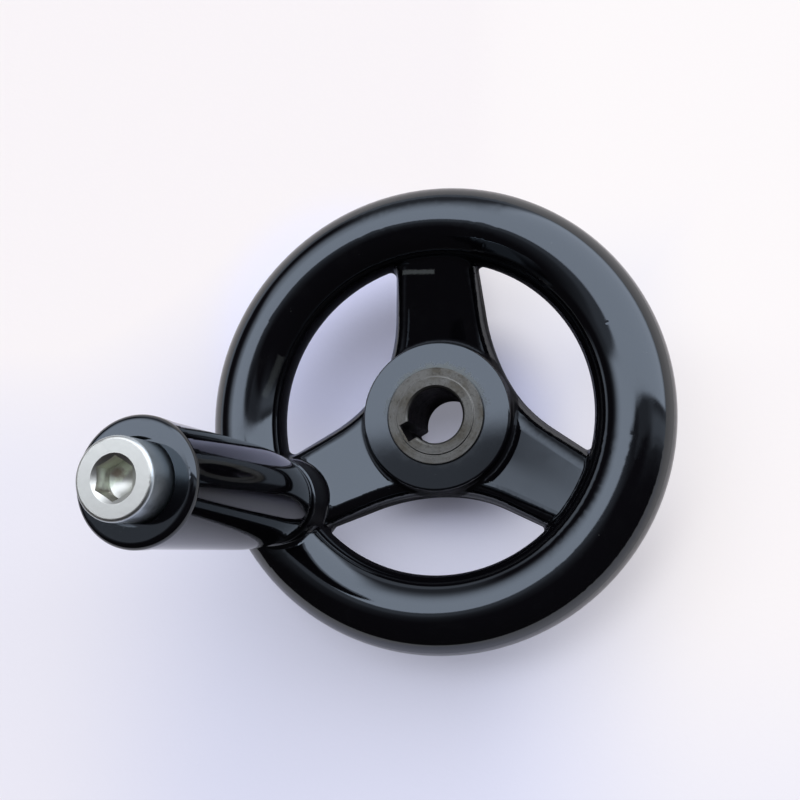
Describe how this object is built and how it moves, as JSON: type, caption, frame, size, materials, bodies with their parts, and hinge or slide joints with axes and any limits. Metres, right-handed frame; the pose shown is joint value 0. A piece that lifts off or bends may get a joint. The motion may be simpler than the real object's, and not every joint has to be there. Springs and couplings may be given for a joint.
{
  "type": "machine handwheel",
  "caption": "Small glossy black machine handwheel, dished and spoked, with a keyed steel bush in its hub and a revolving cylindrical grip held by a socket head screw.",
  "frame": {"origin": "centre of the bore at the hub's back face", "axes": "+Z along the bore, out of the wheel's front; +X towards the handle, where the keyway lies too"},
  "size_m": [0.1, 0.1, 0.092],
  "materials": {
    "wheel_phenolic": "high gloss",
    "bush_steel": "turned, slightly dull",
    "insert_steel": "plain turned",
    "sleeve_steel": "plain drawn",
    "screw_zinc": "bright zinc plated",
    "grip_phenolic": "high gloss"
  },
  "bodies": {
    "wheel": {"wheel_body": "wheel_phenolic", "hub_bush": "bush_steel", "boss_insert": "insert_steel", "handle_sleeve": "sleeve_steel", "handle_screw": "screw_zinc"},
    "grip": {"handle_grip": "grip_phenolic"}
  },
  "joints": [
    {"name": "grip_spin", "type": "hinge", "parent": "wheel", "child": "grip", "pos_m": [0.0373, 0, 0.0305], "axis": [0, 0, 1], "continuous": true}
  ]
}
